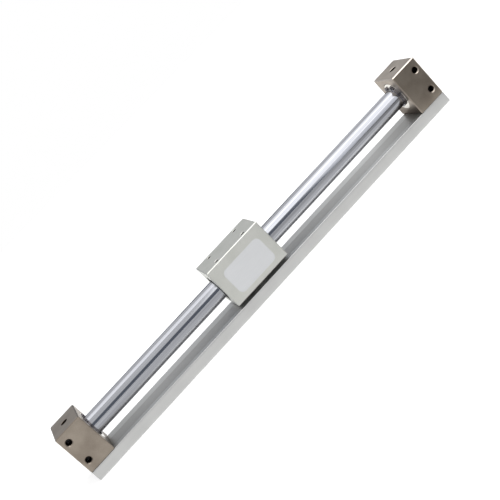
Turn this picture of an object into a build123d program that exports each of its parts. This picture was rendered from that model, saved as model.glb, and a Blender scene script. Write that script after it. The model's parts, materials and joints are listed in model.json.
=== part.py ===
from build123d import *
import math
import os

os.makedirs("parts", exist_ok=True)

# Rodless pneumatic cylinder: an air-driven piston inside a thin tube carries an outer slider with it by magnets.
# Millimetres. X runs along the tube, Y across it, Z up from the underside of the rail, and x = 0 is mid-stroke.

# Bore, tube and stroke
bore = 10.0
tube_wall = 1.0
stroke = 200.0
end_clearance = 2.0
slider_rest = -4.7

# Fits
running_gap = 0.04
seat_gap = 0.05

# Magnet stacks: rings of the same pitch inside and outside the tube, with a steel yoke on both sides of each
magnet_count = 4
magnet_length = 4.0
yoke_length = 1.6
slider_magnet_gap = 0.3
slider_magnet_wall = 2.65
piston_magnet_gap = 0.25
yoke_step = 0.08

# Piston
shaft_radius = 1.5
shaft_end_inset = 0.2
piston_body_gap = 0.2
piston_wear_land = 0.6
piston_wear_width = 2.2
piston_wear_depth = 0.6
piston_middle_land = 0.7
piston_seal_width = 1.8
piston_seal_depth = 1.3
piston_seal_waist = 0.4
piston_floor = 0.4
piston_nut_across_flats = 5.5
piston_nut_height = 2.0
piston_nut_inset = 0.3
piston_nut_room = 0.15
bumper_air_radius = 2.6
bumper_gap = 0.2
bumper_chamfer = 0.3

# Slider
slider_side_wall = 3.0
slider_roof = 4.7
slider_floor = 2.4
slider_chamfer = 0.4
slider_spacer_length = 4.3
slider_wear_width = 3.0
slider_wear_thickness = 1.2
slider_scraper_length = 1.4
slider_scraper_lip = 0.5
slider_ring_thickness = 0.8
slider_ring_groove = 0.45
slider_ring_lip = 0.4
table_hole_radius = 1.25
table_hole_mouth = 1.5
table_hole_depth = 4.5
table_spacing_x = 20.0
table_spacing_y = 16.0
switch_magnet_radius = 2.0
switch_magnet_length = 2.0

# Rail and its fastening
rail_height = 6.6
rail_width = 24.0
rail_top_radius = 0.6
rail_bottom_chamfer = 0.3
rail_gap = 2.2
shield_width = 12.0
shield_thickness = 0.5
shield_offset = -2.0
switch_slot_radius = 2.1
switch_slot_floor = 2.8
switch_slot_mouth = 3.0
switch_slot_offset = 6.5
screw_radius = 1.5
screw_head_radius = 2.75
screw_head_height = 3.0
screw_head_recess = 0.4
screw_head_chamfer = 0.3
screw_socket_across_flats = 2.5
screw_socket_depth = 1.5
screw_hole_wall = 0.75
screw_hole_spare = 0.7
screw_spacing = 8.0
screw_room = 0.2

# Spring rings with plier lugs
ring_band = 1.1
ring_lug_radius = 1.35
ring_lug_hole = 0.65
ring_lug_half_angle = 32.0
ring_lug_direction = 85.0

# End covers, whose depths run outwards from the face that the slider comes up to
recess_space = 3.3
attachment_length = 2.85
attachment_chamfer = 0.25
cover_ring_thickness = 0.8
cover_ring_lug_height = 2.75
tube_ring_thickness = 0.8
tube_ring_depth = 0.35
tube_ring_band = 1.5
tube_ring_opening = 3.0
gasket_lip = 0.75
gasket_width = 1.6
gasket_depth = 1.1
chamber_radius = 4.0
chamber_margin = 0.3
drill_point_angle = 31.0
cover_end_wall = 6.2
cover_side_wall = 3.2
cover_roof = 3.1
cover_chamfer = 0.5
port_radius = 2.1
port_mouth = 2.3
side_hole_radius = 1.75
side_hole_mouth = 2.2
side_hole_spacing = 14.0
side_hole_inset = 3.9

# Radii about the tube
bore_radius = bore / 2
tube_radius = bore_radius + tube_wall
slider_magnet_inner = tube_radius + slider_magnet_gap
slider_magnet_outer = slider_magnet_inner + slider_magnet_wall
slider_bore = slider_magnet_outer + seat_gap
slider_ring_outer = slider_bore + slider_ring_groove - seat_gap
recess_radius = tube_radius + recess_space
gasket_radius = tube_radius + gasket_depth
tube_ring_inner = tube_radius - tube_ring_depth + seat_gap

# Heights
rail_top = rail_height
axis_height = rail_top + rail_gap + slider_floor + slider_bore
slider_top = axis_height + slider_bore + slider_roof
slider_bottom = rail_top + rail_gap
cover_top = axis_height + recess_radius + cover_roof
cover_middle = (rail_top + cover_top) / 2

# Rail screws end below the covers' lower side holes
screw_hole_depth = cover_middle - side_hole_spacing / 2 - side_hole_radius - screw_hole_wall - rail_top
screw_engagement = screw_hole_depth - screw_hole_spare

# Lengths
stack_pitch = magnet_length + yoke_length
stack_half = (magnet_count * stack_pitch + yoke_length) / 2
slider_end_stack = slider_spacer_length + slider_scraper_length + slider_ring_thickness + 2 * seat_gap
slider_half = stack_half + slider_end_stack + slider_ring_lip
slider_width = 2 * (slider_bore + slider_side_wall)
piston_nut_seat = stack_half + piston_wear_land + piston_wear_width + piston_middle_land
piston_nut_seat += piston_seal_width + piston_floor
piston_half = piston_nut_seat + piston_nut_height + piston_nut_inset
cover_inner = stroke / 2 + slider_half + end_clearance
recess_depth = attachment_length + seat_gap
seat_end = recess_depth + 2 * gasket_lip + gasket_width
chamber_depth = 2 * (port_radius + chamber_margin)
cover_length = seat_end + chamber_depth + cover_end_wall
cover_width = 2 * (recess_radius + cover_side_wall)
cover_height = cover_top - rail_top
cover_outer = cover_inner + cover_length
tube_end = seat_end - seat_gap
sides = ((-1, "left"), (1, "right"))


# Plane square to the tube, centred on it, whose normal points outwards on the given side.
def square_plane(x, side=1):
    return Plane(origin=(x, 0, axis_height), x_dir=(0, side, 0), z_dir=(side, 0, 0))


# Plane through the tube's axis: its x runs outwards on the given side, and its y is the radius.
def axial_plane(x, side=1):
    return Plane(origin=(x, 0, axis_height), x_dir=(side, 0, 0), z_dir=(0, -side, 0))


tube_axis = Axis((0, 0, axis_height), (1, 0, 0))


# A plain ring about the tube's axis.
def make_ring(name, start, length, inner, outer):
    with BuildPart() as ring:
        with BuildSketch(square_plane(start)):
            Circle(outer)
            Circle(inner, mode=Mode.SUBTRACT)
        extrude(amount=length)
    ring.part.label = name
    export_step(ring.part, f"parts/{name}.step")


# A ring with a plain cut through its top, as wear rings and shaft rings have.
def make_split_ring(name, start, side, length, inner, outer, opening):
    with BuildPart() as ring:
        with BuildSketch(square_plane(start, side)):
            Circle(outer)
            Circle(inner, mode=Mode.SUBTRACT)
            with Locations((0, outer)):
                Rectangle(opening, 2 * (outer - inner / 2), mode=Mode.SUBTRACT)
        extrude(amount=length)
    ring.part.label = name
    export_step(ring.part, f"parts/{name}.step")


# A spring ring that is opened or closed by pliers at two lugs with holes, for a bored hole or for a shaft.
def make_lug_ring(name, start, side, thickness, inner, lug_circle):
    outer = inner + ring_band
    lug_turns = [ring_lug_direction - ring_lug_half_angle, ring_lug_direction + ring_lug_half_angle]
    lug_spots = []
    for turn in lug_turns:
        lug_spots.append((lug_circle * math.cos(math.radians(turn)), lug_circle * math.sin(math.radians(turn))))
    with BuildPart() as ring:
        with BuildSketch(square_plane(start, side)):
            Circle(outer)
            Circle(inner, mode=Mode.SUBTRACT)
            with BuildLine(mode=Mode.PRIVATE) as opening:
                reach = 2 * outer
                corners = [(reach * math.cos(math.radians(t)), reach * math.sin(math.radians(t))) for t in lug_turns]
                Polyline((0, 0), corners[0], corners[1], close=True)
            make_face(opening.edges(), mode=Mode.SUBTRACT)
            with Locations(*lug_spots):
                Circle(ring_lug_radius)
                Circle(ring_lug_hole, mode=Mode.SUBTRACT)
        extrude(amount=thickness)
    ring.part.label = name
    export_step(ring.part, f"parts/{name}.step")


# End cover: a block with a stepped bore for the tube, an air port on top and two screw holes through its width.
def make_end_cover(name, side):
    port_depth = seat_end + chamber_depth / 2
    seat_radius = tube_radius + seat_gap
    groove_start = recess_depth + gasket_lip
    groove_end = groove_start + gasket_width
    chamber_end = seat_end + chamber_depth
    drill_point = chamber_radius * math.tan(math.radians(drill_point_angle))
    with BuildPart() as cover:
        with BuildSketch(square_plane(side * cover_inner, side)):
            with Locations((0, cover_middle - axis_height)):
                Rectangle(cover_width, cover_height)
        extrude(amount=cover_length)
        chamfer(cover.edges(), cover_chamfer)
        with BuildSketch(axial_plane(side * cover_inner, side)):
            with BuildLine():
                Polyline(
                    (0, 0),
                    (0, recess_radius),
                    (recess_depth, recess_radius),
                    (recess_depth, seat_radius),
                    (groove_start, seat_radius),
                    (groove_start, gasket_radius),
                    (groove_end, gasket_radius),
                    (groove_end, seat_radius),
                    (seat_end, seat_radius),
                    (seat_end, chamber_radius),
                    (chamber_end, chamber_radius),
                    (chamber_end + drill_point, 0),
                    close=True,
                )
            make_face()
        revolve(axis=tube_axis, mode=Mode.SUBTRACT)
        with Locations((side * (cover_inner + port_depth), 0, cover_top)):
            CounterSinkHole(port_radius, port_mouth, depth=cover_top - axis_height, counter_sink_angle=90)
        for way in (-1, 1):
            hole_face = Plane(
                origin=(side * (cover_outer - side_hole_inset), way * cover_width / 2, cover_middle),
                x_dir=(1, 0, 0),
                z_dir=(0, way, 0),
            )
            with Locations(hole_face.location):
                with GridLocations(0, side_hole_spacing, 1, 2):
                    CounterSinkHole(side_hole_radius, side_hole_mouth, depth=cover_width, counter_sink_angle=90)
        underside = Plane(origin=(side * (cover_inner + cover_length / 2), 0, rail_top), z_dir=(0, 0, -1))
        with Locations(underside.location):
            with GridLocations(screw_spacing, 0, 2, 1):
                Hole(screw_radius + seat_gap, depth=screw_hole_depth)
    cover.part.label = name
    export_step(cover.part, f"parts/{name}.step")


# Drawn tube, with two grooves near each end for the spring rings that keep it in its cover.
def make_tube(name):
    tube_half = cover_inner + tube_end
    front_groove = cover_ring_thickness + 2 * seat_gap
    rear_groove = tube_ring_thickness + 2 * seat_gap
    grooves = ((cover_inner - front_groove, front_groove), (cover_inner + recess_depth - rear_groove, rear_groove))
    with BuildPart() as tube:
        with BuildSketch(square_plane(-tube_half)):
            Circle(tube_radius)
            Circle(bore_radius, mode=Mode.SUBTRACT)
        extrude(amount=2 * tube_half)
        for side, _ in sides:
            for groove_start, groove_length in grooves:
                with BuildSketch(square_plane(side * groove_start, side)):
                    Circle(tube_radius + seat_gap)
                    Circle(tube_radius - tube_ring_depth, mode=Mode.SUBTRACT)
                extrude(amount=groove_length, mode=Mode.SUBTRACT)
    tube.part.label = name
    export_step(tube.part, f"parts/{name}.step")


# Ring round the tube that fills the cover's recess, between the two spring rings on the tube.
def make_attachment_ring(name, side):
    pocket = attachment_length - tube_ring_thickness - seat_gap
    pocket_radius = tube_radius - tube_ring_depth + tube_ring_band + 4 * seat_gap
    with BuildPart() as ring:
        with BuildSketch(axial_plane(side * cover_inner, side)):
            with BuildLine():
                Polyline(
                    (0, tube_radius + seat_gap),
                    (0, recess_radius - seat_gap - attachment_chamfer),
                    (attachment_chamfer, recess_radius - seat_gap),
                    (attachment_length, recess_radius - seat_gap),
                    (attachment_length, pocket_radius),
                    (pocket, pocket_radius),
                    (pocket, tube_radius + seat_gap),
                    close=True,
                )
            make_face()
        revolve(axis=tube_axis)
    ring.part.label = name
    export_step(ring.part, f"parts/{name}.step")


# Squeezed O-ring between the tube and its seat in the cover.
def make_tube_gasket(name, side):
    groove_middle = recess_depth + gasket_lip + gasket_width / 2
    section_height = gasket_depth - 2 * seat_gap
    section_width = gasket_width - 2 * seat_gap
    with BuildPart() as gasket:
        with BuildSketch(axial_plane(side * (cover_inner + groove_middle), side)):
            with Locations((0, tube_radius + gasket_depth / 2)):
                squeezed = Rectangle(section_width, section_height)
            chamfer(squeezed.vertices(), section_height / 4)
        revolve(axis=tube_axis)
    gasket.part.label = name
    export_step(gasket.part, f"parts/{name}.step")


# Extruded rail under the whole cylinder: round switch slot below, shallow channel for the shield plate on top.
def make_rail(name):
    slot_centre = (switch_slot_offset, switch_slot_floor)
    channel_middle = rail_top - shield_thickness / 2
    with BuildPart() as rail:
        with BuildSketch(Plane.YZ.offset(-cover_outer)) as section:
            with Locations((0, rail_top / 2)):
                Rectangle(rail_width, rail_top)
            fillet(section.vertices().group_by(Axis.Z)[-1], rail_top_radius)
            chamfer(section.vertices().group_by(Axis.Z)[0], rail_bottom_chamfer)
            with Locations((shield_offset, channel_middle)):
                Rectangle(shield_width + 2 * seat_gap, shield_thickness, mode=Mode.SUBTRACT)
            with Locations(slot_centre):
                Circle(switch_slot_radius, mode=Mode.SUBTRACT)
            with Locations((switch_slot_offset, switch_slot_floor / 2)):
                Rectangle(switch_slot_mouth, switch_slot_floor, mode=Mode.SUBTRACT)
        extrude(amount=2 * cover_outer)
        for side, _ in sides:
            underside = Plane(origin=(side * (cover_inner + cover_length / 2), 0, 0), z_dir=(0, 0, -1))
            with Locations(underside.location):
                with GridLocations(screw_spacing, 0, 2, 1):
                    CounterBoreHole(
                        screw_radius + screw_room,
                        screw_head_radius + screw_room,
                        screw_head_recess + screw_head_height,
                        depth=rail_height,
                    )
    rail.part.label = name
    export_step(rail.part, f"parts/{name}.step")


# Thin steel plate let into the rail, which keeps the coupling magnets away from the switch.
def make_shield_plate(name):
    with BuildPart() as plate:
        with BuildSketch(Plane.XY.offset(rail_top - shield_thickness)):
            with Locations((0, shield_offset)):
                Rectangle(2 * cover_outer, shield_width)
            for side, _ in sides:
                with Locations((side * (cover_inner + cover_length / 2), 0)):
                    with GridLocations(screw_spacing, 0, 2, 1):
                        Circle(screw_radius + screw_room, mode=Mode.SUBTRACT)
        extrude(amount=shield_thickness)
    plate.part.label = name
    export_step(plate.part, f"parts/{name}.step")


# Four socket screws that go up through the rail into the covers.
def make_rail_screws(name):
    head_top = screw_head_recess + screw_head_height
    shank_length = rail_height + screw_engagement - head_top
    spots = []
    for side, _ in sides:
        for step in (-0.5, 0.5):
            spots.append((side * (cover_inner + cover_length / 2) + step * screw_spacing, 0))
    with BuildPart() as screws:
        with BuildSketch(Plane.XY.offset(screw_head_recess)):
            with Locations(*spots):
                Circle(screw_head_radius)
        extrude(amount=screw_head_height)
        chamfer(screws.edges().group_by(Axis.Z)[0], screw_head_chamfer)
        with BuildSketch(Plane.XY.offset(head_top)):
            with Locations(*spots):
                Circle(screw_radius)
        extrude(amount=shank_length)
        with BuildSketch(Plane.XY.offset(screw_head_recess)):
            with Locations(*spots):
                RegularPolygon(screw_socket_across_flats / 2, 6, major_radius=False)
        extrude(amount=screw_socket_depth, mode=Mode.SUBTRACT)
    screws.part.label = name
    export_step(screws.part, f"parts/{name}.step")


# Soft stop in each end of the tube, bored for the air.
def make_bumper(name, side):
    start = stroke / 2 + piston_half + bumper_gap
    length = cover_inner + seat_end - seat_gap - start
    with BuildPart() as bumper:
        with BuildSketch(square_plane(side * start, side)):
            Circle(bore_radius - 2 * seat_gap)
            Circle(bumper_air_radius, mode=Mode.SUBTRACT)
        extrude(amount=length)
        chamfer(bumper.faces().sort_by(Axis.X, reverse=side < 0)[0].edges(), bumper_chamfer)
    bumper.part.label = name
    export_step(bumper.part, f"parts/{name}.step")


# Slider: a bored block that runs along the tube and carries the load on its tapped top.
def make_slider_body(name):
    slot_length = slider_ring_thickness + 2 * seat_gap
    slot_start = slider_half - slider_ring_lip - slot_length
    with BuildPart() as slider:
        with BuildSketch(Plane.YZ.offset(slider_rest - slider_half)):
            with Locations((0, (slider_top + slider_bottom) / 2)):
                Rectangle(slider_width, slider_top - slider_bottom)
        extrude(amount=2 * slider_half)
        chamfer(slider.edges(), slider_chamfer)
        with BuildSketch(square_plane(slider_rest - slider_half)):
            Circle(slider_bore)
        extrude(amount=2 * slider_half, mode=Mode.SUBTRACT)
        for side, _ in sides:
            with BuildSketch(square_plane(slider_rest + side * slot_start, side)):
                Circle(slider_bore + slider_ring_groove)
            extrude(amount=slot_length, mode=Mode.SUBTRACT)
        with Locations((slider_rest, 0, slider_top)):
            with GridLocations(table_spacing_x, table_spacing_y, 2, 2):
                CounterSinkHole(table_hole_radius, table_hole_mouth, depth=table_hole_depth, counter_sink_angle=90)
        underside = Plane(origin=(slider_rest, switch_slot_offset, slider_bottom), z_dir=(0, 0, -1))
        with Locations(underside.location):
            Hole(switch_magnet_radius + seat_gap, depth=switch_magnet_length + seat_gap)
    slider.part.label = name
    export_step(slider.part, f"parts/{name}.step")


# Small magnet in the slider's underside, over the switch slot.
def make_switch_magnet(name):
    with BuildPart() as magnet:
        with BuildSketch(Plane.XY.offset(slider_bottom)):
            with Locations((slider_rest, switch_slot_offset)):
                Circle(switch_magnet_radius)
        extrude(amount=switch_magnet_length)
    magnet.part.label = name
    export_step(magnet.part, f"parts/{name}.step")


# Sleeve at each end of the slider's magnets, with a groove inside for the wear ring.
def make_slider_spacer(name, side):
    wear_outer = tube_radius + slider_wear_thickness + seat_gap
    land = (slider_spacer_length - slider_wear_width) / 2 - seat_gap
    with BuildPart() as spacer:
        with BuildSketch(axial_plane(slider_rest + side * (stack_half + seat_gap), side)):
            with BuildLine():
                Polyline(
                    (0, slider_magnet_inner),
                    (0, slider_bore - seat_gap),
                    (slider_spacer_length - seat_gap, slider_bore - seat_gap),
                    (slider_spacer_length - seat_gap, slider_magnet_inner),
                    (slider_spacer_length - seat_gap - land, slider_magnet_inner),
                    (slider_spacer_length - seat_gap - land, wear_outer),
                    (land, wear_outer),
                    (land, slider_magnet_inner),
                    close=True,
                )
            make_face()
        revolve(axis=tube_axis)
    spacer.part.label = name
    export_step(spacer.part, f"parts/{name}.step")


# Rubber wiper whose lip rides on the tube.
def make_slider_scraper(name, side):
    start = stack_half + slider_spacer_length + seat_gap
    body_inner = tube_radius + slider_scraper_lip
    lip_root = slider_scraper_length / 2
    with BuildPart() as scraper:
        with BuildSketch(axial_plane(slider_rest + side * start, side)):
            with BuildLine():
                Polyline(
                    (0, body_inner),
                    (0, slider_bore - seat_gap),
                    (slider_scraper_length - seat_gap, slider_bore - seat_gap),
                    (slider_scraper_length - seat_gap, tube_radius + running_gap),
                    (lip_root, body_inner),
                    close=True,
                )
            make_face()
        revolve(axis=tube_axis)
    scraper.part.label = name
    export_step(scraper.part, f"parts/{name}.step")


# Piston end: a turned head with a wear ring groove, a seal groove and a pocket for the nut.
def make_piston_head(name, side):
    head_radius = bore_radius - piston_body_gap
    wear_start = piston_wear_land
    wear_end = wear_start + piston_wear_width
    seal_start = wear_end + piston_middle_land
    seal_end = seal_start + piston_seal_width
    nut_seat = piston_nut_seat - stack_half
    head_end = piston_half - stack_half
    nut_corner = piston_nut_across_flats / math.sqrt(3)
    with BuildPart() as head:
        with BuildSketch(axial_plane(slider_rest + side * stack_half, side)):
            with BuildLine():
                Polyline(
                    (0, shaft_radius + seat_gap),
                    (0, head_radius),
                    (wear_start, head_radius),
                    (wear_start, head_radius - piston_wear_depth),
                    (wear_end, head_radius - piston_wear_depth),
                    (wear_end, head_radius),
                    (seal_start, head_radius),
                    (seal_start, head_radius - piston_seal_depth),
                    (seal_end, head_radius - piston_seal_depth),
                    (seal_end, head_radius),
                    (head_end, head_radius),
                    (head_end, nut_corner + piston_nut_room),
                    (nut_seat, nut_corner + piston_nut_room),
                    (nut_seat, shaft_radius + seat_gap),
                    close=True,
                )
            make_face()
        revolve(axis=tube_axis)
    head.part.label = name
    export_step(head.part, f"parts/{name}.step")


# Piston seal with a lip at each end of its groove and a waist between them.
def make_piston_seal(name, side):
    start = stack_half + piston_wear_land + piston_wear_width + piston_middle_land + seat_gap
    width = piston_seal_width - 2 * seat_gap
    inner = bore_radius - piston_body_gap - piston_seal_depth + seat_gap
    lip = bore_radius - running_gap
    with BuildPart() as seal:
        with BuildSketch(axial_plane(slider_rest + side * start, side)):
            with BuildLine():
                Polyline(
                    (0, inner),
                    (0, lip),
                    (width / 4, lip),
                    (width * 3 / 8, lip - piston_seal_waist),
                    (width * 5 / 8, lip - piston_seal_waist),
                    (width * 3 / 4, lip),
                    (width, lip),
                    (width, inner),
                    close=True,
                )
            make_face()
        revolve(axis=tube_axis)
    seal.part.label = name
    export_step(seal.part, f"parts/{name}.step")


# Hexagon nut on each end of the piston's shaft.
def make_piston_nut(name, side):
    with BuildPart() as nut:
        with BuildSketch(square_plane(slider_rest + side * piston_nut_seat, side)):
            RegularPolygon(piston_nut_across_flats / 2, 6, major_radius=False)
            Circle(shaft_radius + seat_gap, mode=Mode.SUBTRACT)
        extrude(amount=piston_nut_height)
    nut.part.label = name
    export_step(nut.part, f"parts/{name}.step")


# Shaft that the piston's magnets, yokes and heads are threaded on.
def make_piston_shaft(name):
    shaft_half = piston_half - shaft_end_inset
    with BuildPart() as shaft:
        with BuildSketch(square_plane(slider_rest - shaft_half)):
            Circle(shaft_radius)
        extrude(amount=2 * shaft_half)
        chamfer(shaft.edges(), shaft_end_inset)
    shaft.part.label = name
    export_step(shaft.part, f"parts/{name}.step")


# Alternating yokes and magnets, with a yoke at each end.
def make_stack(prefix, magnet_inner, magnet_outer, yoke_inner, yoke_outer):
    start = slider_rest - stack_half
    for index in range(magnet_count + 1):
        make_ring(f"{prefix}_yoke_{index + 1}", start + index * stack_pitch, yoke_length, yoke_inner, yoke_outer)
    for index in range(magnet_count):
        magnet_start = start + index * stack_pitch + yoke_length
        make_ring(f"{prefix}_magnet_{index + 1}", magnet_start, magnet_length, magnet_inner, magnet_outer)


make_tube("cylinder_tube")
make_rail("switch_rail")
make_shield_plate("magnetic_shield_plate")
make_rail_screws("rail_screws")
make_slider_body("slider_body")
make_switch_magnet("switch_magnet")
make_piston_shaft("piston_shaft")
make_stack("slider", slider_magnet_inner, slider_magnet_outer, slider_magnet_inner - yoke_step, slider_magnet_outer)
make_stack(
    "piston",
    shaft_radius + seat_gap,
    bore_radius - piston_magnet_gap,
    shaft_radius + seat_gap,
    bore_radius - piston_magnet_gap + yoke_step,
)

for side, hand in sides:
    make_end_cover(f"end_cover_{hand}", side)
    make_attachment_ring(f"attachment_ring_{hand}", side)
    make_tube_gasket(f"tube_gasket_{hand}", side)
    make_bumper(f"bumper_{hand}", side)
    make_lug_ring(
        f"cover_retaining_ring_{hand}",
        side * (cover_inner - seat_gap - cover_ring_thickness),
        side,
        cover_ring_thickness,
        tube_ring_inner,
        tube_ring_inner + cover_ring_lug_height - ring_lug_radius,
    )
    make_split_ring(
        f"tube_retaining_ring_{hand}",
        side * (cover_inner + recess_depth - seat_gap - tube_ring_thickness),
        side,
        tube_ring_thickness,
        tube_ring_inner,
        tube_radius - tube_ring_depth + tube_ring_band,
        tube_ring_opening,
    )
    make_slider_spacer(f"slider_spacer_{hand}", side)
    make_slider_scraper(f"slider_scraper_{hand}", side)
    make_split_ring(
        f"slider_wear_ring_{hand}",
        slider_rest + side * (stack_half + (slider_spacer_length - slider_wear_width) / 2 + seat_gap),
        side,
        slider_wear_width - 2 * seat_gap,
        tube_radius + running_gap,
        tube_radius + slider_wear_thickness,
        8 * seat_gap,
    )
    make_lug_ring(
        f"slider_retaining_ring_{hand}",
        slider_rest + side * (slider_half - slider_ring_lip - seat_gap - slider_ring_thickness),
        side,
        slider_ring_thickness,
        slider_ring_outer - ring_band,
        slider_ring_outer - ring_lug_radius - seat_gap,
    )
    make_piston_head(f"piston_head_{hand}", side)
    make_piston_seal(f"piston_seal_{hand}", side)
    make_piston_nut(f"piston_nut_{hand}", side)
    make_split_ring(
        f"piston_wear_ring_{hand}",
        slider_rest + side * (stack_half + piston_wear_land + seat_gap),
        side,
        piston_wear_width - 2 * seat_gap,
        bore_radius - piston_body_gap - piston_wear_depth + seat_gap,
        bore_radius - running_gap,
        8 * seat_gap,
    )
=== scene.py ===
import json
import math

import bmesh
import bpy
from mathutils import Matrix, Vector


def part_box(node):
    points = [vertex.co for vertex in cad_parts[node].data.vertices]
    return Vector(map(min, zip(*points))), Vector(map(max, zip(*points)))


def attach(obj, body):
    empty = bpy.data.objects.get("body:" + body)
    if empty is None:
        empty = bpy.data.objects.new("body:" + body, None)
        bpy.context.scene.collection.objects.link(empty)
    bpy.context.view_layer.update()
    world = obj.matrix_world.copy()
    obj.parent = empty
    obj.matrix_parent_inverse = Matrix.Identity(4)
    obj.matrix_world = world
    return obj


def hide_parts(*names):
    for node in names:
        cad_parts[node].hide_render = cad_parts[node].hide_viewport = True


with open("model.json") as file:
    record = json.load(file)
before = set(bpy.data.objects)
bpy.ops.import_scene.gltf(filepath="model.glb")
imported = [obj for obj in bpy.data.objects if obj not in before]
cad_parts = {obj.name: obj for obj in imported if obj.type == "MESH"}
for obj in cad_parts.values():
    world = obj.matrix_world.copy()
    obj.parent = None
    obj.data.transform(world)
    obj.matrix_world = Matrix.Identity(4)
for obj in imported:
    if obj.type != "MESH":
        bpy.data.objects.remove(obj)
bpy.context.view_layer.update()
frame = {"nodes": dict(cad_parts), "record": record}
mm = 0.001
print("frame loaded:", len(frame["nodes"]), "parts")


# The camera stands where the photograph's did: above the front and a little to the left, rolled by an
# eighth of a turn. Places are in metres, the roll is in degrees, lens and sensor are in mm.
cameraSetup = {
    "place": (-0.0646, -0.5308, 0.1782),
    "aim": (0.0030, 0.0, 0.0221),
    "roll": -45.11,
    "lens": 74.78,
    "sensor": 36.0,
    "clipStart": 0.01,
}


def makeCamera():
    data = bpy.data.cameras.new("photoCamera")
    data.lens = cameraSetup["lens"]
    data.sensor_width = cameraSetup["sensor"]
    data.clip_start = cameraSetup["clipStart"]
    camera = bpy.data.objects.new("photoCamera", data)
    bpy.context.scene.collection.objects.link(camera)
    place = Vector(cameraSetup["place"])
    turn = (Vector(cameraSetup["aim"]) - place).to_track_quat("-Z", "Y").to_matrix().to_4x4()
    roll = Matrix.Rotation(math.radians(cameraSetup["roll"]), 4, "Z")
    camera.matrix_world = Matrix.Translation(place) @ turn @ roll
    bpy.context.scene.camera = camera


makeCamera()
print("camera ready")


# Settings that many nodes share
colourMix = {"data_type": "RGBA"}
numberMix = {"data_type": "FLOAT"}
softStep = {"interpolation_type": "SMOOTHSTEP"}


def linear(hexColour):
    # an sRGB hex colour as the linear one that the sockets take
    parts = [int(hexColour[i:i + 2], 16) / 255 for i in (1, 3, 5)]
    return [c / 12.92 if c <= 0.04045 else ((c + 0.055) / 1.055) ** 2.4 for c in parts] + [1.0]


def addNode(tree, kind, settings=None, values=None, links=None):
    made = tree.nodes.new(kind)
    for name, value in (settings or {}).items():
        setattr(made, name, value)
    for socket, value in (values or {}).items():
        made.inputs[socket].default_value = value
    for socket, source in (links or {}).items():
        tree.links.new(source, made.inputs[socket])
    return made


def newMaterial(name):
    material = bpy.data.materials.new(name)
    material.use_nodes = True
    material.node_tree.nodes.clear()
    return material, material.node_tree


def inMillimetres(tree, stretch=(1, 1, 1)):
    # object coordinates over a length in mm along each axis, so that a scale is one over a real size
    place = addNode(tree, "ShaderNodeTexCoord").outputs["Object"]
    scaled = addNode(tree, "ShaderNodeMapping", values={"Scale": [1 / (s * mm) for s in stretch]},
                     links={"Vector": place})
    return scaled.outputs["Vector"]


def placeParts(tree):
    # the X, Y and Z of a point on the unmoved part, in metres
    place = addNode(tree, "ShaderNodeTexCoord").outputs["Object"]
    return addNode(tree, "ShaderNodeSeparateXYZ", links={"Vector": place}).outputs


def normalParts(tree):
    # the X, Y and Z of the way in which a face looks, each from -1 to 1
    normal = addNode(tree, "ShaderNodeNewGeometry").outputs["True Normal"]
    return addNode(tree, "ShaderNodeSeparateXYZ", links={"Vector": normal}).outputs


def finishMaterial(tree, values, links):
    shader = addNode(tree, "ShaderNodeBsdfPrincipled", values=values, links=links)
    addNode(tree, "ShaderNodeOutputMaterial", links={"Surface": shader.outputs["BSDF"]})


def finishGrained(tree, colour, grain, metal, rough, bump=None):
    # one grain sets how rough a surface is, between two values, and how far it stands up, by a strength and
    # a height in mm
    roughness = addNode(tree, "ShaderNodeMapRange", values={"To Min": rough[0], "To Max": rough[1]},
                        links={"Value": grain})
    links = {"Base Color": colour, "Roughness": roughness.outputs["Result"]}
    if bump:
        relief = addNode(tree, "ShaderNodeBump", values={"Strength": bump[0], "Distance": bump[1] * mm},
                         links={"Height": grain})
        links["Normal"] = relief.outputs["Normal"]
    finishMaterial(tree, {"Metallic": metal}, links)


# Where edge wear, painted highlights and painted shade lie. A face looks straight along an axis when that
# part of its normal passes the first value, and counts as an edge by the largest part of its normal and by
# how far it looks upwards.
straight = 0.9
edgeLimits = {"square": 0.97, "slanted": 0.75, "level": 0.2, "upward": 0.5}
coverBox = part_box("end_cover_right")
# painted shade: the tones that faces looking straight down are painted
undersideShade = {"slider": "#6f6e6a", "cover": "#5d5650", "spacer": "#8a8a88"}
# painted shade on the rail's top beside the covers, deeper before the right one
cornerShade = {"colour": "#6b6862", "starts": 84.0, "full": 116.0, "share": (0.25, 0.42)}  # mm from centre
# painted shade low on the covers' inner faces, and a lighter one low on the rings in them
footShade = {"colour": "#5e5040", "ring": "#b9b5ae", "starts": 15.0, "full": 9.0}  # mm above the underside


def edgeMask(tree):
    # 1 on small chamfers and rims that face upwards, where the materials put their edge tones, and 0 on
    # square faces
    normal = normalParts(tree)
    sizes = [addNode(tree, "ShaderNodeMath", {"operation": "ABSOLUTE"}, links={0: normal[axis]}).outputs[0]
             for axis in ("X", "Y", "Z")]
    sideways = addNode(tree, "ShaderNodeMath", {"operation": "MAXIMUM"}, links={0: sizes[0], 1: sizes[1]})
    largest = addNode(tree, "ShaderNodeMath", {"operation": "MAXIMUM"},
                      links={0: sideways.outputs[0], 1: sizes[2]})
    slanted = addNode(tree, "ShaderNodeMapRange",
                      values={"From Min": edgeLimits["square"], "From Max": edgeLimits["slanted"]},
                      links={"Value": largest.outputs[0]})
    upward = addNode(tree, "ShaderNodeMapRange",
                     values={"From Min": edgeLimits["level"], "From Max": edgeLimits["upward"]},
                     links={"Value": normal["Z"]})
    return addNode(tree, "ShaderNodeMath", {"operation": "MULTIPLY"},
                   links={0: slanted.outputs["Result"], 1: upward.outputs["Result"]}).outputs[0]


def undersideMask(tree):
    # 1 on faces that look straight down, which are painted darker as shade
    upward = normalParts(tree)["Z"]
    down = addNode(tree, "ShaderNodeMath", {"operation": "LESS_THAN"}, {1: -straight}, {0: upward})
    return down.outputs[0]


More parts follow.
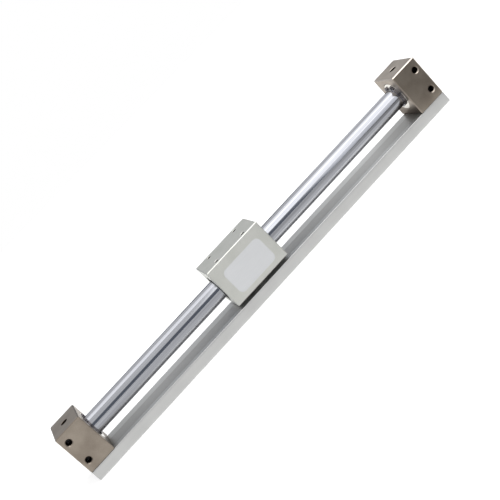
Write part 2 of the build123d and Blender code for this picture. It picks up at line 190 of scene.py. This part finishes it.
def cornerMask(tree):
    # how much painted shade lies on top of the rail: more towards the covers, and more before the right one
    along = placeParts(tree)["X"]
    away = addNode(tree, "ShaderNodeMath", {"operation": "ABSOLUTE"}, links={0: along})
    near = addNode(tree, "ShaderNodeMapRange", softStep,
                   {"From Min": cornerShade["starts"] * mm, "From Max": cornerShade["full"] * mm},
                   {"Value": away.outputs[0]})
    share = addNode(tree, "ShaderNodeMapRange", values={
        "From Min": -cornerShade["starts"] * mm, "From Max": cornerShade["starts"] * mm,
        "To Min": cornerShade["share"][0], "To Max": cornerShade["share"][1]}, links={"Value": along})
    level = addNode(tree, "ShaderNodeMath", {"operation": "GREATER_THAN"}, {1: straight},
                    {0: normalParts(tree)["Z"]})
    lying = addNode(tree, "ShaderNodeMath", {"operation": "MULTIPLY"},
                    links={0: near.outputs["Result"], 1: level.outputs[0]})
    return addNode(tree, "ShaderNodeMath", {"operation": "MULTIPLY"},
                   links={0: lying.outputs[0], 1: share.outputs["Result"]}).outputs[0]


def footMask(tree):
    # 1 low down on the faces that the covers turn to each other, where shade is painted, and 0 higher up
    place = placeParts(tree)
    turned = addNode(tree, "ShaderNodeMath", {"operation": "MULTIPLY"},
                     links={0: normalParts(tree)["X"], 1: place["X"]})
    inward = addNode(tree, "ShaderNodeMath", {"operation": "LESS_THAN"}, {1: -straight * coverBox[0].x},
                     {0: turned.outputs[0]})
    low = addNode(tree, "ShaderNodeMapRange", softStep,
                  {"From Min": footShade["starts"] * mm, "From Max": footShade["full"] * mm},
                  {"Value": place["Z"]})
    return addNode(tree, "ShaderNodeMath", {"operation": "MULTIPLY"},
                   links={0: inward.outputs[0], 1: low.outputs["Result"]}).outputs[0]


mounts = {m["name"]: m for m in frame["record"]["mounts"]}
tableHoles = mounts["table_holes"]
sideHoles = mounts["side_holes_front"]
rightPort = mounts["port_right"]
holeLook = {
    # the tone of the painted shade inside holes, how far it shows past a hole's wall, how deep covers and
    # slider stay unshaded inside a hole's mouth, half the shaded length in the slider, and how wide the rim
    # of a mouth is, all in mm; the last value is the share by which the painted edge highlight is dimmed on
    # those rims
    "holeShade": "#33261d", "spread": 0.08, "unshadedCover": 1.2, "unshadedSlider": 0.5, "halfShaded": 4.5,
    "rim": 0.5, "rimDimming": 0.6,
}
holeSets = {
    # each set is mirrored about its middle; the offset leads to one hole's middle, and along the hole's own
    # axis it is half its length
    "cover": [
        {"middle": (0, 0, sideHoles["pos_m"][2]), "radius": sideHoles["dims"]["hole_r_mm"], "axis": 1,
         "offset": (sideHoles["dims"]["spacing_x_mm"] / 2 * mm,
                    coverBox[1].y - holeLook["unshadedCover"] * mm,
                    sideHoles["dims"]["spacing_y_mm"] / 2 * mm)},
        {"middle": (0, 0, rightPort["pos_m"][2]), "radius": rightPort["dims"]["r_mm"], "axis": 2,
         "offset": (rightPort["pos_m"][0], 0, coverBox[1].z - rightPort["pos_m"][2])},
    ],
    "slider": [
        {"middle": (tableHoles["pos_m"][0], 0,
                    tableHoles["pos_m"][2] - (holeLook["halfShaded"] + holeLook["unshadedSlider"]) * mm),
         "radius": tableHoles["dims"]["hole_r_mm"], "axis": 2,
         "offset": (tableHoles["dims"]["spacing_x_mm"] / 2 * mm,
                    tableHoles["dims"]["spacing_y_mm"] / 2 * mm,
                    holeLook["halfShaded"] * mm)},
    ],
    "spacer": [],
}


def holeMask(tree, holes, wider, longer=0.0):
    # 1 inside the given holes, taken wider and longer by so many mm, and 0 on the faces about them
    place = addNode(tree, "ShaderNodeTexCoord").outputs["Object"]
    mask = None
    for hole in holes:
        reached = [hole["offset"][i] + (longer * mm if i == hole["axis"] else 0) for i in range(3)]
        least = [0 if i == hole["axis"] else -1 for i in range(3)]  # on its axis only the radius counts
        away = addNode(tree, "ShaderNodeVectorMath", {"operation": "SUBTRACT"}, {1: hole["middle"]},
                       {0: place})
        folded = addNode(tree, "ShaderNodeVectorMath", {"operation": "ABSOLUTE"},
                         links={0: away.outputs["Vector"]})
        off = addNode(tree, "ShaderNodeVectorMath", {"operation": "SUBTRACT"}, {1: reached},
                      {0: folded.outputs["Vector"]})
        held = addNode(tree, "ShaderNodeVectorMath", {"operation": "MAXIMUM"}, {1: least},
                       {0: off.outputs["Vector"]})
        reach = addNode(tree, "ShaderNodeVectorMath", {"operation": "LENGTH"},
                        links={0: held.outputs["Vector"]})
        inside = addNode(tree, "ShaderNodeMath", {"operation": "LESS_THAN"},
                         {1: (hole["radius"] + wider) * mm}, {0: reach.outputs["Value"]}).outputs[0]
        if mask is not None:
            inside = addNode(tree, "ShaderNodeMath", {"operation": "MAXIMUM"},
                             links={0: mask, 1: inside}).outputs[0]
        mask = inside
    return mask


anodising = {
    # each: light and dark tone, tone of the upward edges at the left and right and its share (partly wear,
    # partly painted highlight, and a painted shade on the covers' left edges), how metallic, from how smooth
    # to how rough, and the grain's size in mm
    "cover": {"light": "#aea396", "dark": "#978c80", "edges": ("#81786e", "#ece2d6"), "share": 1.0,
              "metal": 1.0, "rough": (0.30, 0.39), "grain": 0.5},
    "slider": {"light": "#ebebe5", "dark": "#e2e3dc", "edges": ("#f8f8f4", "#f8f8f4"), "share": 0.2,
               "metal": 1.0, "rough": (0.40, 0.49), "grain": 0.45},
    "spacer": {"light": "#c2c2c0", "dark": "#b4b4b2", "edges": ("#e8e8e6", "#e8e8e6"), "share": 0.7,
               "metal": 0.9, "rough": (0.26, 0.35), "grain": 0.4},
}
# What the three share: the size of their clouds in mm, the grain's share in them, the values at which they
# are darkest and lightest, and the grain's bump
blasting = {"cloud": 9.0, "grainShare": 0.55, "darkest": 0.55, "lightest": 1.0, "bump": (0.12, 0.02)}


def blastedAnodised(name, kind):
    # Anodised aluminium, bead blasted first: dull metal with an even fine grain, its upward edges paler,
    # partly from wear and partly as a painted highlight.
    # The real grain is near 0.1 mm, too fine to show, so it is drawn at the size given in the dictionary.
    look = anodising[kind]
    material, tree = newMaterial(name)
    place = inMillimetres(tree)
    grain = addNode(tree, "ShaderNodeTexNoise",
                    values={"Scale": 1 / look["grain"], "Detail": 3.0, "Roughness": 0.6},
                    links={"Vector": place}).outputs["Fac"]
    cloud = addNode(tree, "ShaderNodeTexNoise", values={"Scale": 1 / blasting["cloud"], "Detail": 2.0},
                    links={"Vector": place}).outputs["Fac"]
    blend = addNode(tree, "ShaderNodeMath", {"operation": "MULTIPLY_ADD"}, {1: blasting["grainShare"]},
                    {0: grain, 2: cloud})
    fade = addNode(tree, "ShaderNodeMapRange",
                   values={"From Min": blasting["darkest"], "From Max": blasting["lightest"]},
                   links={"Value": blend.outputs[0]})
    body = addNode(tree, "ShaderNodeMix", colourMix, {"A": linear(look["dark"]), "B": linear(look["light"])},
                   {"Factor": fade.outputs["Result"]})
    # the edge tone runs from left to right: on the covers a painted shade on the left end's edges and a
    # painted highlight on the right end's
    leftToRight = addNode(tree, "ShaderNodeMapRange",
                      values={"From Min": -coverBox[0].x / 2, "From Max": coverBox[0].x / 2},
                      links={"Value": placeParts(tree)["X"]})
    edge = addNode(tree, "ShaderNodeMix", colourMix,
                   {"A": linear(look["edges"][0]), "B": linear(look["edges"][1])},
                   {"Factor": leftToRight.outputs["Result"]})
    wearAndHighlight = addNode(tree, "ShaderNodeMath", {"operation": "MULTIPLY"}, {1: look["share"]},
                   {0: edgeMask(tree)})
    if kind == "cover":
        # the painted edge highlight is dimmed at the mouths of the side holes
        rims = holeMask(tree, holeSets[kind][:1], holeLook["rim"], holeLook["unshadedCover"] + holeLook["rim"])
        rimDim = addNode(tree, "ShaderNodeMath", {"operation": "MULTIPLY_ADD"},
                        {1: -holeLook["rimDimming"], 2: 1.0}, {0: rims})
        wearAndHighlight = addNode(tree, "ShaderNodeMath", {"operation": "MULTIPLY"},
                       links={0: wearAndHighlight.outputs[0], 1: rimDim.outputs[0]})
    finish = addNode(tree, "ShaderNodeMix", colourMix, links={
        "Factor": wearAndHighlight.outputs[0], "A": body.outputs["Result"], "B": edge.outputs["Result"]})
    # painted shade: darker underneath, low on the covers' inner faces just above the rail, and inside the
    # holes
    paintedShades = [(undersideMask(tree), undersideShade[kind])]
    if kind == "cover":
        paintedShades.append((footMask(tree), footShade["colour"]))
    if holeSets[kind]:
        paintedShades.append((holeMask(tree, holeSets[kind], holeLook["spread"]), holeLook["holeShade"]))
    for mask, tone in paintedShades:
        finish = addNode(tree, "ShaderNodeMix", colourMix, {"B": linear(tone)},
                         {"Factor": mask, "A": finish.outputs["Result"]})
    finishGrained(tree, finish.outputs["Result"], grain, look["metal"], look["rough"], blasting["bump"])
    return material


railLook = {
    # die lines by their length and width, and clouds, in mm; the edge tone is that of the rounded edges, and
    # the tone is darkest and lightest at the values of that name
    "light": "#e2e2e0", "dark": "#dadad8", "edge": "#b2b2b0", "lines": (90, 0.35, 0.35), "cloud": 14.0,
    "lineShare": 0.6, "darkest": 0.55, "lightest": 1.05, "rough": (0.36, 0.46), "bump": (0.15, 0.02),
}


def extrudedAnodised():
    # Anodised aluminium extrusion: satin, with faint die lines that run the whole length of the rail.
    material, tree = newMaterial("extrudedAnodisedAluminium")
    lines = addNode(tree, "ShaderNodeTexNoise", values={"Scale": 1.0, "Detail": 4.0, "Roughness": 0.65},
                    links={"Vector": inMillimetres(tree, railLook["lines"])}).outputs["Fac"]
    cloud = addNode(tree, "ShaderNodeTexNoise", values={"Scale": 1 / railLook["cloud"], "Detail": 2.0},
                    links={"Vector": inMillimetres(tree)}).outputs["Fac"]
    blend = addNode(tree, "ShaderNodeMath", {"operation": "MULTIPLY_ADD"}, {1: railLook["lineShare"]},
                    {0: lines, 2: cloud})
    fade = addNode(tree, "ShaderNodeMapRange",
                   values={"From Min": railLook["darkest"], "From Max": railLook["lightest"]},
                   links={"Value": blend.outputs[0]})
    flat = addNode(tree, "ShaderNodeMix", colourMix,
                   {"A": linear(railLook["dark"]), "B": linear(railLook["light"])},
                   {"Factor": fade.outputs["Result"]})
    # painted shade: the upward rounded edges are painted darker than the flats, damping their highlight
    edged = addNode(tree, "ShaderNodeMix", colourMix, {"B": linear(railLook["edge"])},
                    {"Factor": edgeMask(tree), "A": flat.outputs["Result"]})
    # painted shade on the rail's top beside the covers
    shadedNearCovers = addNode(tree, "ShaderNodeMix", colourMix, {"B": linear(cornerShade["colour"])},
                    {"Factor": cornerMask(tree), "A": edged.outputs["Result"]})
    finishGrained(tree, shadedNearCovers.outputs["Result"], lines, 1.0, railLook["rough"], railLook["bump"])
    return material


tubeFinish = {
    # draw marks by their length and width in mm, and the values at which the tone is darkest and lightest
    "light": "#c3c5ca", "dark": "#a9aab1", "marks": (80, 0.4, 0.4), "darkest": 0.3, "lightest": 0.7,
    "rough": (0.08, 0.16), "bump": (0.08, 0.01),
}


def drawnStainless():
    # Drawn and polished stainless tube: a near mirror with fine draw marks along its length.
    # The real marks are some hundredths of a millimetre wide, and are drawn 0.4 mm wide so that they show.
    material, tree = newMaterial("polishedStainlessSteel")
    marks = addNode(tree, "ShaderNodeTexNoise", values={"Scale": 1.0, "Detail": 3.0, "Roughness": 0.7},
                    links={"Vector": inMillimetres(tree, tubeFinish["marks"])}).outputs["Fac"]
    fade = addNode(tree, "ShaderNodeMapRange",
                   values={"From Min": tubeFinish["darkest"], "From Max": tubeFinish["lightest"]},
                   links={"Value": marks})
    tone = addNode(tree, "ShaderNodeMix", colourMix,
                   {"A": linear(tubeFinish["dark"]), "B": linear(tubeFinish["light"])},
                   {"Factor": fade.outputs["Result"]})
    finishGrained(tree, tone.outputs["Result"], marks, 1.0, tubeFinish["rough"], tubeFinish["bump"])
    return material


turnedMetals = {
    # each: light and dark tone, from how smooth to how rough, and the size of its marks in mm
    "brightAnodisedRing": {"light": "#f4f0e8", "dark": "#e8e3d8", "rough": (0.10, 0.21), "marks": 0.30},
    "turnedStainless": {"light": "#c9c9ca", "dark": "#b5b5b7", "rough": (0.20, 0.31), "marks": 0.25},
    "turnedBrass": {"light": "#c9a95c", "dark": "#b8964a", "rough": (0.23, 0.34), "marks": 0.25},
    "nickelPlatedMagnet": {"light": "#c8c5bb", "dark": "#b9b6ac", "rough": (0.17, 0.28), "marks": 0.60},
    "zincPlatedSteel": {"light": "#d2d0cc", "dark": "#bbbbba", "rough": (0.35, 0.46), "marks": 1.20},
    "phosphatedSpringSteel": {"light": "#8a878b", "dark": "#6c696e", "rough": (0.21, 0.32), "marks": 0.50},
    "blackOxideSteel": {"light": "#26262a", "dark": "#141417", "rough": (0.33, 0.44), "marks": 0.40},
}
shadedMetals = {
    # painted shade on the plate in the rail's top beside the covers, and low on the rings in the covers
    "zincPlatedSteel": (cornerMask, cornerShade["colour"]),
    "brightAnodisedRing": (footMask, footShade["ring"]),
}
softMaterials = {
    # each: light and dark tone, from how smooth to how rough, and the size of its speckle in mm
    "nitrileRubber": {"light": "#1f1f20", "dark": "#131314", "rough": (0.50, 0.60), "marks": 0.3},
    "urethaneRubber": {"light": "#d9b46a", "dark": "#c79f53", "rough": (0.30, 0.40), "marks": 0.8},
    "wearRingResin": {"light": "#7a5f41", "dark": "#644c32", "rough": (0.45, 0.55), "marks": 0.4},
}
smallBump = (0.1, 0.01)  # strength, and height in mm


def smallPartMaterial(name, look, metal, detail):
    material, tree = newMaterial(name)
    marks = addNode(tree, "ShaderNodeTexNoise", values={"Scale": 1 / look["marks"], "Detail": detail},
                    links={"Vector": inMillimetres(tree)}).outputs["Fac"]
    tone = addNode(tree, "ShaderNodeMix", colourMix, {"A": linear(look["dark"]), "B": linear(look["light"])},
                   {"Factor": marks})
    # painted shade from a mask on the metals listed for it
    if name in shadedMetals:
        mask, shadeTone = shadedMetals[name]
        tone = addNode(tree, "ShaderNodeMix", colourMix, {"B": linear(shadeTone)},
                       {"Factor": mask(tree), "A": tone.outputs["Result"]})
    finishGrained(tree, tone.outputs["Result"], marks, metal, look["rough"], smallBump)
    return material


def turnedMetal(name):
    # Bare or plated metal with the fine uneven tone that turning, rolling or plating leaves.
    return smallPartMaterial(name, turnedMetals[name], metal=1.0, detail=4.0)


def softMaterial(name):
    # Moulded rubber or cut resin: no metal, a slight speckle in the tone.
    return smallPartMaterial(name, softMaterials[name], metal=0.0, detail=2.0)


labelFinish = {
    # the grain by its length and width in mm
    "light": "#f1f2f3", "dark": "#e7e8e9", "grain": (6, 0.4, 0.4), "metal": 0.6, "rough": (0.34, 0.44),
}


def labelFilm():
    # Silver polyester label: a pale, faintly bluish film with a soft sheen and a very fine grain along it.
    # The real grain is some hundredths of a millimetre wide, and is drawn 0.4 mm wide so that it shows.
    material, tree = newMaterial("silverPolyesterFilm")
    grain = addNode(tree, "ShaderNodeTexNoise", values={"Scale": 1.0, "Detail": 3.0, "Roughness": 0.6},
                    links={"Vector": inMillimetres(tree, labelFinish["grain"])}).outputs["Fac"]
    tone = addNode(tree, "ShaderNodeMix", colourMix,
                   {"A": linear(labelFinish["dark"]), "B": linear(labelFinish["light"])}, {"Factor": grain})
    finishGrained(tree, tone.outputs["Result"], grain, labelFinish["metal"], labelFinish["rough"])
    return material


slotMaterials = {
    "cover_hard_anodised": blastedAnodised("hardAnodisedAluminium", "cover"),
    "slider_anodised": blastedAnodised("clearAnodisedAluminium", "slider"),
    "spacer_aluminium": blastedAnodised("turnedAluminium", "spacer"),
    "rail_anodised": extrudedAnodised(),
    "tube_stainless": drawnStainless(),
    "ring_bright_anodised": turnedMetal("brightAnodisedRing"),
    "shaft_stainless": turnedMetal("turnedStainless"),
    "piston_brass": turnedMetal("turnedBrass"),
    "magnet_nickel": turnedMetal("nickelPlatedMagnet"),
    "steel_zinc_plated": turnedMetal("zincPlatedSteel"),
    "ring_phosphated": turnedMetal("phosphatedSpringSteel"),
    "screw_black_oxide": turnedMetal("blackOxideSteel"),
    "nitrile_rubber": softMaterial("nitrileRubber"),
    "urethane_rubber": softMaterial("urethaneRubber"),
    "wear_ring_resin": softMaterial("wearRingResin"),
}
for part in frame["record"]["subparts"]:
    slots = frame["nodes"][part["node"]].data.materials
    slots.clear()
    slots.append(slotMaterials[part["material_slot"]])
print("materials ready:", len(slotMaterials))


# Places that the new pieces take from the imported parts
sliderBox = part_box("slider_body")
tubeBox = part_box("cylinder_tube")
tubeAxis = (tubeBox[0] + tubeBox[1]) / 2
weldWithin = 1e-7  # in metres


def asObject(mesh, name, material):
    # turns a bmesh into an object of one material
    data = bpy.data.meshes.new(name)
    mesh.to_mesh(data)
    mesh.free()
    data.materials.append(material)
    made = bpy.data.objects.new(name, data)
    bpy.context.scene.collection.objects.link(made)
    return made


def addPiece(mesh, name, material, body, smoothBelow):
    # a finished piece that rides on a body, smooth over edges that turn by less than so many degrees
    bmesh.ops.remove_doubles(mesh, verts=mesh.verts, dist=weldWithin)
    bmesh.ops.recalc_face_normals(mesh, faces=mesh.faces)
    piece = asObject(mesh, name, material)
    piece.data.shade_smooth()
    piece.data.set_sharp_from_angle(angle=math.radians(smoothBelow))
    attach(piece, body)
    return piece


tubeLook = {"wall": 1.0, "rim": 0.15, "steps": 192, "smoothBelow": 20}  # wall and rim chamfer in mm


def makeTubeSkin():
    # the drawn tube, round enough to reflect cleanly, with its two rims broken by a small chamfer
    half = tubeBox[1].x
    outer = (tubeBox[1].z - tubeBox[0].z) / 2
    inner = outer - tubeLook["wall"] * mm
    rim = tubeLook["rim"] * mm
    outline = [(-half, inner + rim), (-half + rim, inner), (half - rim, inner), (half, inner + rim),
               (half, outer - rim), (half - rim, outer), (-half + rim, outer), (-half, outer - rim)]
    mesh = bmesh.new()
    corners = [mesh.verts.new((x, 0, tubeAxis.z + r)) for x, r in outline]
    edges = [mesh.edges.new((corners[i], corners[(i + 1) % len(corners)])) for i in range(len(corners))]
    bmesh.ops.spin(mesh, geom=corners + edges, cent=(0, 0, tubeAxis.z), axis=(1, 0, 0), angle=math.tau,
                   steps=tubeLook["steps"], use_merge=True)
    skin = addPiece(mesh, "tubeSkin", slotMaterials["tube_stainless"], "frame",
                    tubeLook["smoothBelow"])
    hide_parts("cylinder_tube")


makeTubeSkin()
print("tube ready")


labelLook = {
    # in mm: the film's size, corner radius and thickness, how far its middle lies above the tube's axis, and
    # how far to the right of the slider's middle
    "length": 26.8, "height": 16.2, "corner": 3.0, "thickness": 0.06, "lift": -0.1, "shift": 0.3,
    "cornerSteps": 8, "smoothBelow": 40,
}


def makeLabel():
    # the bare label on the slider's front, a thin film with round corners
    thickness = labelLook["thickness"] * mm
    centre = Vector(((sliderBox[0].x + sliderBox[1].x) / 2 + labelLook["shift"] * mm, sliderBox[0].y,
                     tubeAxis.z + labelLook["lift"] * mm))
    mesh = bmesh.new()
    bmesh.ops.create_grid(mesh, x_segments=1, y_segments=1, size=0.5)
    bmesh.ops.scale(mesh, vec=(labelLook["length"] * mm, labelLook["height"] * mm, 1), verts=mesh.verts)
    bmesh.ops.rotate(mesh, matrix=Matrix.Rotation(math.radians(90), 3, "X"), verts=mesh.verts)
    bmesh.ops.translate(mesh, vec=centre, verts=mesh.verts)
    grown = bmesh.ops.extrude_face_region(mesh, geom=mesh.faces[:])
    raised = [g for g in grown["geom"] if isinstance(g, bmesh.types.BMVert)]
    bmesh.ops.translate(mesh, vec=(0, -thickness, 0), verts=raised)
    upright = [e for e in mesh.edges if abs(e.verts[0].co.y - e.verts[1].co.y) > thickness / 2]
    bmesh.ops.bevel(mesh, geom=upright, offset=labelLook["corner"] * mm, segments=labelLook["cornerSteps"],
                    profile=0.5, affect="EDGES", material=-1)
    addPiece(mesh, "sliderLabel", labelFilm(), "slider", labelLook["smoothBelow"])


makeLabel()
print("label ready")


threadForm = {
    # half the width of a thread's ridge at its root and crest as shares of the pitch, and how far below the
    # cover's top the ports' threads start in mm
    "root": 0.42, "crest": 0.1, "turns": 7, "stepsPerTurn": 24, "smoothBelow": 50, "portStart": 0.9,
}
threadSets = {
    # each: the mounts that give its holes, pitch and height of the ridge in mm, and what it is cut in
    "tableThreads": {"holes": ("table_holes",), "pitch": 0.5, "ridge": 0.16,
                     "body": "slider", "slot": "slider_anodised"},
    "coverSideThreads": {"holes": ("side_holes_front", "side_holes_back"), "pitch": 0.7, "ridge": 0.20,
                         "body": "frame", "slot": "cover_hard_anodised"},
    "portThreads": {"holes": ("port_left", "port_right"), "pitch": 0.8, "ridge": 0.22,
                    "body": "frame", "slot": "cover_hard_anodised"},
}


def holeMouths(mount):
    # the middles of four hole mouths about a mount's place, or of the one where a port's thread starts
    middle = Vector(mount["pos_m"])
    dims = mount["dims"]
    if "spacing_x_mm" not in dims:
        return [Vector((middle.x, middle.y, coverBox[1].z - threadForm["portStart"] * mm))]
    along = Vector((1, 0, 0))
    across = Vector([abs(part) for part in along.cross(Vector(mount["axis"]))])
    return [middle + along * (x * dims["spacing_x_mm"] * mm) + across * (y * dims["spacing_y_mm"] * mm)
            for x in (-0.5, 0.5) for y in (-0.5, 0.5)]


def addThread(mesh, mouth, outward, radius, look):
    # one helical ridge down a hole, spun round the hole's axis from a pitch below its mouth, its ends closed
    pitch = look["pitch"] * mm
    crest = radius - look["ridge"] * mm
    turns = threadForm["turns"]
    steps = threadForm["stepsPerTurn"]
    across = outward.orthogonal().normalized()
    start = mouth - outward * pitch
    outline = [(radius, threadForm["root"]), (crest, threadForm["crest"]),
               (crest, -threadForm["crest"]), (radius, -threadForm["root"])]
    corners = [mesh.verts.new(start + across * r + outward * (h * pitch)) for r, h in outline]
    edges = [mesh.edges.new((corners[i], corners[(i + 1) % len(corners)])) for i in range(len(corners))]
    mesh.faces.new(corners)
    made = bmesh.ops.spin(mesh, geom=corners + edges, cent=start, axis=outward, angle=math.tau * turns,
                          dvec=-outward * pitch / steps, steps=steps * turns, use_merge=False,
                          use_normal_flip=False)
    last = [g for g in made["geom_last"] if isinstance(g, bmesh.types.BMVert)]
    bmesh.ops.contextual_create(mesh, geom=last)


def makeThreads():
    for name, look in threadSets.items():
        mesh = bmesh.new()
        for holes in look["holes"]:
            dims = mounts[holes]["dims"]
            radius = dims.get("hole_r_mm", dims.get("r_mm")) * mm
            outward = Vector(mounts[holes]["axis"]).normalized()
            for mouth in holeMouths(mounts[holes]):
                addThread(mesh, mouth, outward, radius, look)
        addPiece(mesh, name, slotMaterials[look["slot"]], look["body"],
                 threadForm["smoothBelow"])


makeThreads()
print("threads ready")


def mirrored(tree, path):
    # 1 for what shows in metal and glass, and 0 for all else
    either = addNode(tree, "ShaderNodeMath", {"operation": "MAXIMUM"},
                     links={0: path.outputs["Is Glossy Ray"], 1: path.outputs["Is Transmission Ray"]})
    return either.outputs[0]


# The dome's tones, the heights between which the low one turns into the top one, and half the height of the
# horizon's fade, where straight up is 1
domeLook = {"top": "#e7e7e7", "low": "#6e737c", "lowEnds": 0.42, "topStarts": 0.56, "horizon": 0.02}


def makeWorld():
    # a pale room: bright above, dimmer towards the horizon as behind a photographer, and plain white as a
    # background, which metal and glass show too where it goes on from the floor, below the horizon
    world = bpy.data.worlds.new("paleStudio")
    bpy.context.scene.world = world
    world.use_nodes = True
    tree = world.node_tree
    tree.nodes.clear()
    way = addNode(tree, "ShaderNodeTexCoord").outputs["Generated"]
    height = addNode(tree, "ShaderNodeSeparateXYZ", links={"Vector": way}).outputs["Z"]
    risen = addNode(tree, "ShaderNodeMapRange", softStep,
                    {"From Min": domeLook["lowEnds"], "From Max": domeLook["topStarts"]}, {"Value": height})
    dome = addNode(tree, "ShaderNodeMix", colourMix,
                   {"A": linear(domeLook["low"]), "B": linear(domeLook["top"])},
                   {"Factor": risen.outputs["Result"]})
    path = addNode(tree, "ShaderNodeLightPath")
    below = addNode(tree, "ShaderNodeMapRange",
                    values={"From Min": domeLook["horizon"], "From Max": -domeLook["horizon"]},
                    links={"Value": height})
    shown = addNode(tree, "ShaderNodeMath", {"operation": "MULTIPLY_ADD", "use_clamp": True}, links={
        0: mirrored(tree, path), 1: below.outputs["Result"], 2: path.outputs["Is Camera Ray"]})
    seen = addNode(tree, "ShaderNodeMix", colourMix, {"B": (1, 1, 1, 1)},
                   {"Factor": shown.outputs[0], "A": dome.outputs["Result"]})
    glow = addNode(tree, "ShaderNodeBackground", values={"Strength": 1.0},
                   links={"Color": seen.outputs["Result"]})
    addNode(tree, "ShaderNodeOutputWorld", links={"Surface": glow.outputs["Background"]})


# Half the floor's width in metres, its tones, their size in mm, and how much it glows for the camera and in
# reflections
floorLook = {
    "halfWidth": 1.0, "light": "#f4f4f4", "dark": "#f0f0f0", "mottle": 300.0,
    "glow": 0.40, "mirrorGlow": 0.16,
}


def makeFloor():
    # pale painted board: it takes the object's shadow, and a little glow brings its lit part up to white for
    # camera and reflections
    material, tree = newMaterial("paleFloor")
    path = addNode(tree, "ShaderNodeLightPath")
    inMetal = addNode(tree, "ShaderNodeMath", {"operation": "MULTIPLY"}, {1: floorLook["mirrorGlow"]},
                      {0: mirrored(tree, path)})
    glowing = addNode(tree, "ShaderNodeMath", {"operation": "MULTIPLY_ADD"}, {1: floorLook["glow"]},
                      {0: path.outputs["Is Camera Ray"], 2: inMetal.outputs[0]})
    mottle = addNode(tree, "ShaderNodeTexNoise", values={"Scale": 1 / floorLook["mottle"]},
                     links={"Vector": inMillimetres(tree)}).outputs["Fac"]
    tone = addNode(tree, "ShaderNodeMix", colourMix,
                   {"A": linear(floorLook["dark"]), "B": linear(floorLook["light"])}, {"Factor": mottle})
    finishMaterial(tree, {"Roughness": 1.0, "Specular IOR Level": 0.0, "Emission Color": (1, 1, 1, 1)},
                   {"Base Color": tone.outputs["Result"], "Emission Strength": glowing.outputs[0]})
    mesh = bmesh.new()
    bmesh.ops.create_grid(mesh, x_segments=1, y_segments=1, size=floorLook["halfWidth"])
    floor = asObject(mesh, "paleFloor", material)


cardLook = {
    # its near left corner, its size and its height above the floor, in metres
    "corner": (-0.25, -0.70), "size": (0.95, 0.6875), "lift": 0.0002,
    # its tone from left to middle, and the share of it that is left at the right, with the places of both
    # changes along the tube
    "left": 0.85, "middle": 0.60, "right": 0.39, "gentle": (-0.16, 0.06), "steep": (0.08, 0.17),
    # the even tone of the strip beside the rail, and the places across the tube between which it comes in
    "besideRail": 0.79, "strip": (-0.040, -0.028),
}


def makeCard():
    # a photographer's grey card lying in front: no camera, shadow or soft light meets it, only reflections
    material, tree = newMaterial("greyCard")
    place = placeParts(tree)
    tones = []
    for change, high, low in (("gentle", cardLook["left"], cardLook["middle"]),
                              ("steep", 1.0, cardLook["right"])):
        begin, stop = cardLook[change]
        tones.append(addNode(tree, "ShaderNodeMapRange", softStep,
                             {"From Min": begin, "From Max": stop, "To Min": high, "To Max": low},
                             {"Value": place["X"]}).outputs["Result"])
    fading = addNode(tree, "ShaderNodeMath", {"operation": "MULTIPLY"}, links={0: tones[0], 1: tones[1]})
    close = addNode(tree, "ShaderNodeMapRange", softStep,
                    {"From Min": cardLook["strip"][0], "From Max": cardLook["strip"][1]},
                    {"Value": place["Y"]})
    tone = addNode(tree, "ShaderNodeMix", numberMix, {"B": cardLook["besideRail"]},
                   {"Factor": close.outputs["Result"], "A": fading.outputs[0]})
    shine = addNode(tree, "ShaderNodeEmission", links={"Strength": tone.outputs["Result"]})
    addNode(tree, "ShaderNodeOutputMaterial", links={"Surface": shine.outputs["Emission"]})
    width, depth = cardLook["size"]
    left, near = cardLook["corner"]
    mesh = bmesh.new()
    bmesh.ops.create_grid(mesh, x_segments=1, y_segments=1, size=0.5)
    bmesh.ops.scale(mesh, vec=(width, depth, 1), verts=mesh.verts)
    bmesh.ops.translate(mesh, vec=(left + width / 2, near + depth / 2, cardLook["lift"]), verts=mesh.verts)
    card = asObject(mesh, "greyCard", material)
    card.visible_camera = False
    card.visible_diffuse = False
    card.visible_shadow = False


lampLooks = {
    # each: its place, what it faces, its width and length, all in metres, and how bright its face is, where
    # 1 is white
    "frontRightSoftbox": {"place": (0.80, -0.66, 0.90), "faces": (0.80, -0.66, 0.0), "size": (1.5, 1.22),
                          "bright": 1.1},
    "zenithSoftbox": {"place": (0.25, 0.04, 0.95), "faces": (0.25, 0.04, 0.0), "size": (1.7, 0.58),
                      "bright": 0.75},
    "rearRightSoftbox": {"place": (0.75, 1.20, 0.55), "faces": (0.05, 0.0, 0.02), "size": (0.9, 0.6),
                         "bright": 0.6},
    "rearLeftSoftbox": {"place": (-0.20, 1.20, 0.45), "faces": (-0.1, 0.0, 0.02), "size": (0.35, 0.5),
                        "bright": 0.3},
    "frontRightPanel": {"place": (0.55, -0.96, 0.34), "faces": (0.08, 0.0, 0.02), "size": (0.55, 0.60),
                        "bright": 0.9},
    "frontLeftSoftbox": {"place": (-0.85, -0.80, 0.30), "faces": (-0.1, 0.0, 0.02), "size": (0.7, 0.5),
                         "bright": 1.0},
}


def addLamps():
    for name, look in lampLooks.items():
        data = bpy.data.lights.new(name, "AREA")
        data.shape = "RECTANGLE"
        data.size, data.size_y = look["size"]
        data.energy = look["bright"] * math.pi * data.size * data.size_y  # watts that give this brightness
        lamp = bpy.data.objects.new(name, data)
        bpy.context.scene.collection.objects.link(lamp)
        place = Vector(look["place"])
        aim = (Vector(look["faces"]) - place).to_track_quat("-Z", "Y").to_matrix().to_4x4()
        lamp.matrix_world = Matrix.Translation(place) @ aim


makeWorld()
makeFloor()
makeCard()
addLamps()
bpy.context.scene.view_settings.view_transform = "Standard"
print("stage ready")
